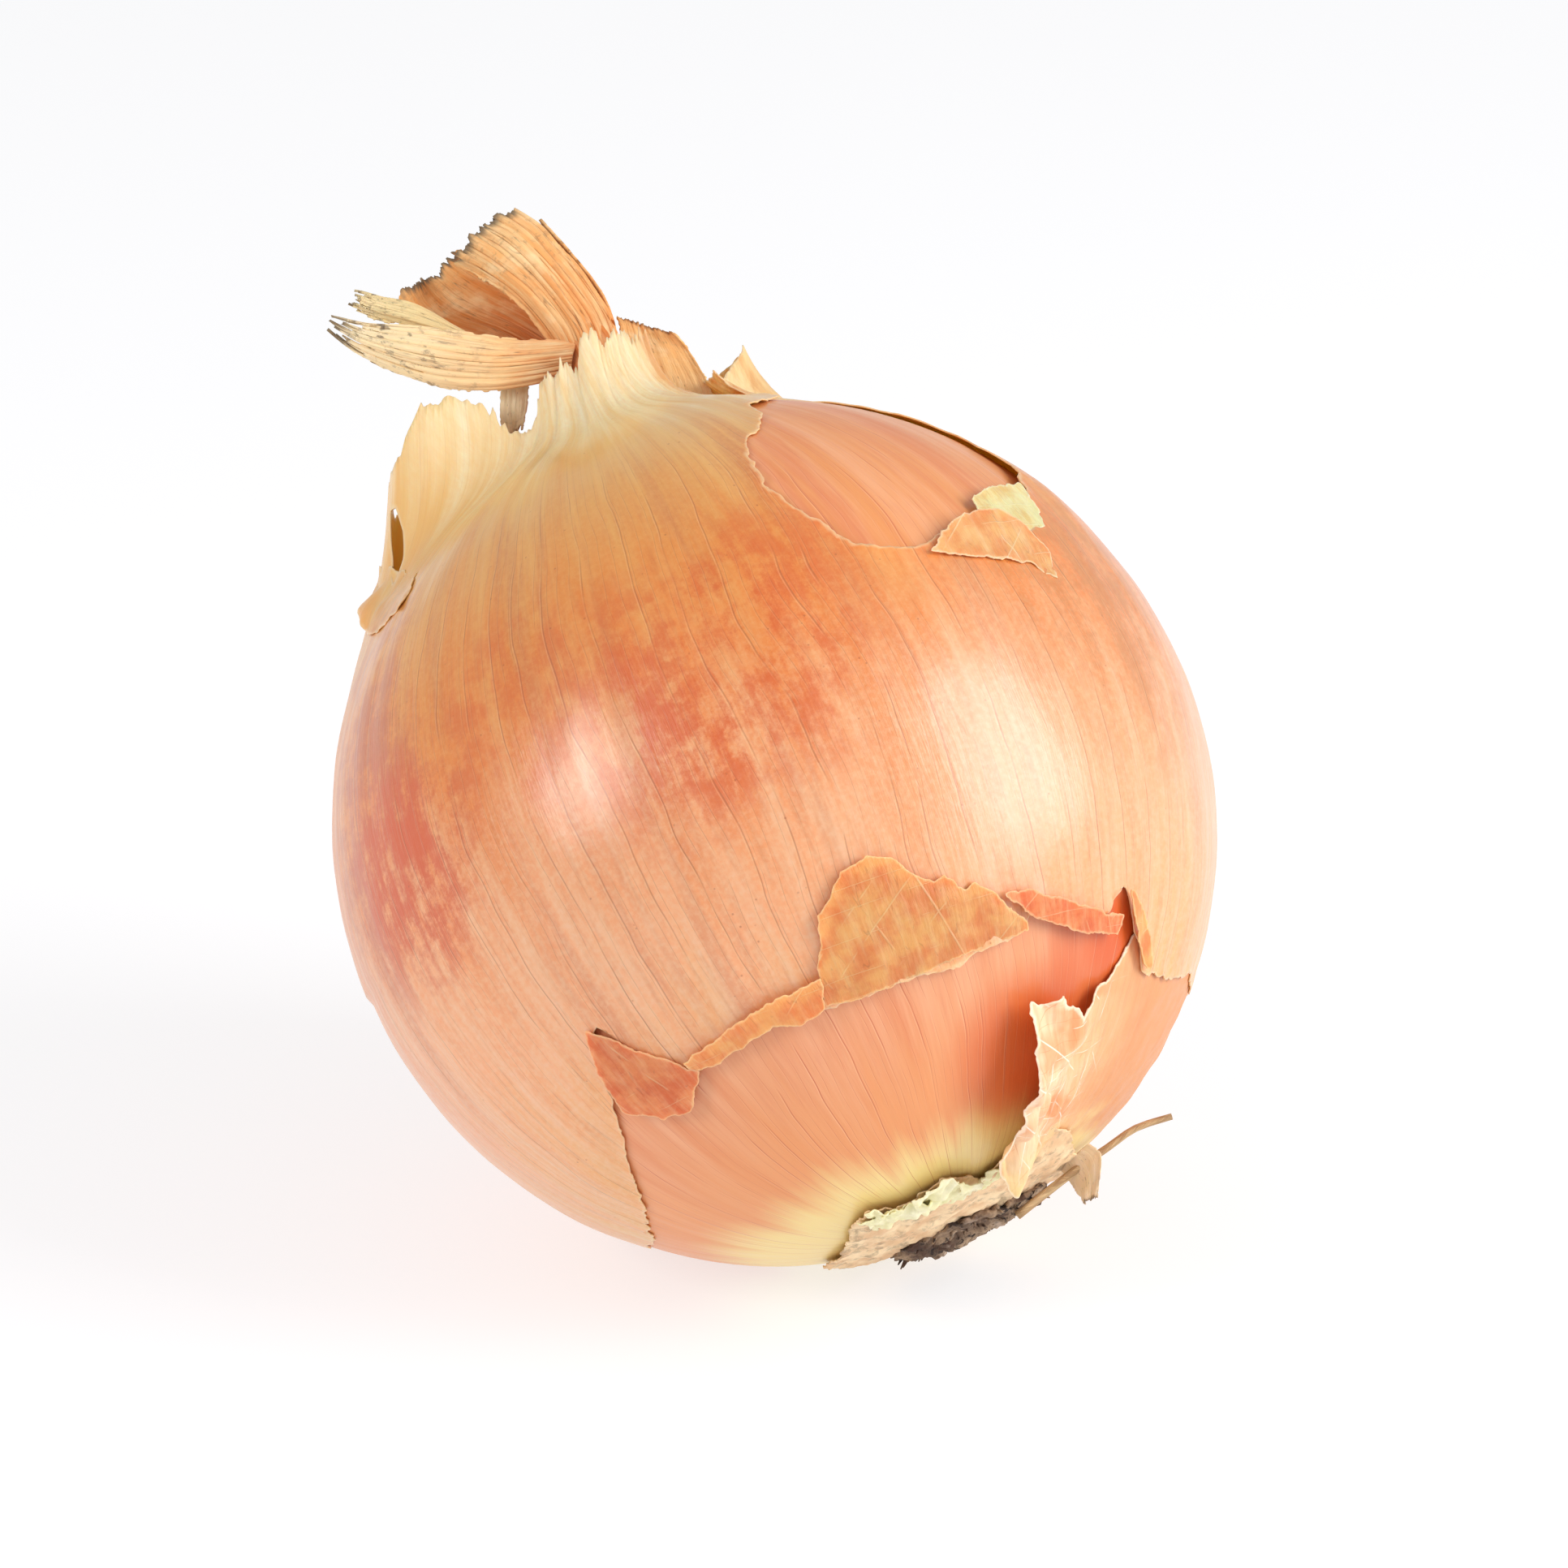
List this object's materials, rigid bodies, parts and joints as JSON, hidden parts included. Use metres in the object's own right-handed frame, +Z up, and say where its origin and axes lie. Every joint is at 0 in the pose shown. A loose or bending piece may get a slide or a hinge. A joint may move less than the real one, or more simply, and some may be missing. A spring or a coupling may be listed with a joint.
{
  "type": "onion",
  "caption": "Round yellow onion lying on its shoulder, with papery outer skin torn open at the front and above, a dry twisted neck and a corky root plate.",
  "frame": {"origin": "middle of the small flat on which the onion rests", "axes": "+Z up, -Y towards the front, where the torn skin shows, +X to the right; the neck leans up, to the left and away from the front"},
  "size_m": [0.0826, 0.0808, 0.0886],
  "materials": {
    "bulb": "satin inner skin, salmon turning yellow at the root",
    "outer_skin": "satin papery skin, orange with cream at the neck",
    "lower_skin": "thin crumpled papery skin",
    "dry_leaf": "matt dry fibrous leaf",
    "basal_skin": "matt pale torn skin",
    "root": "rough corky root plate"
  },
  "bodies": {
    "root": {"bulb": "bulb", "outer_skin": "outer_skin", "lower_skin": "lower_skin", "neck": "dry_leaf", "basal_rim": "basal_skin", "root_plate": "root"}
  },
  "joints": []
}
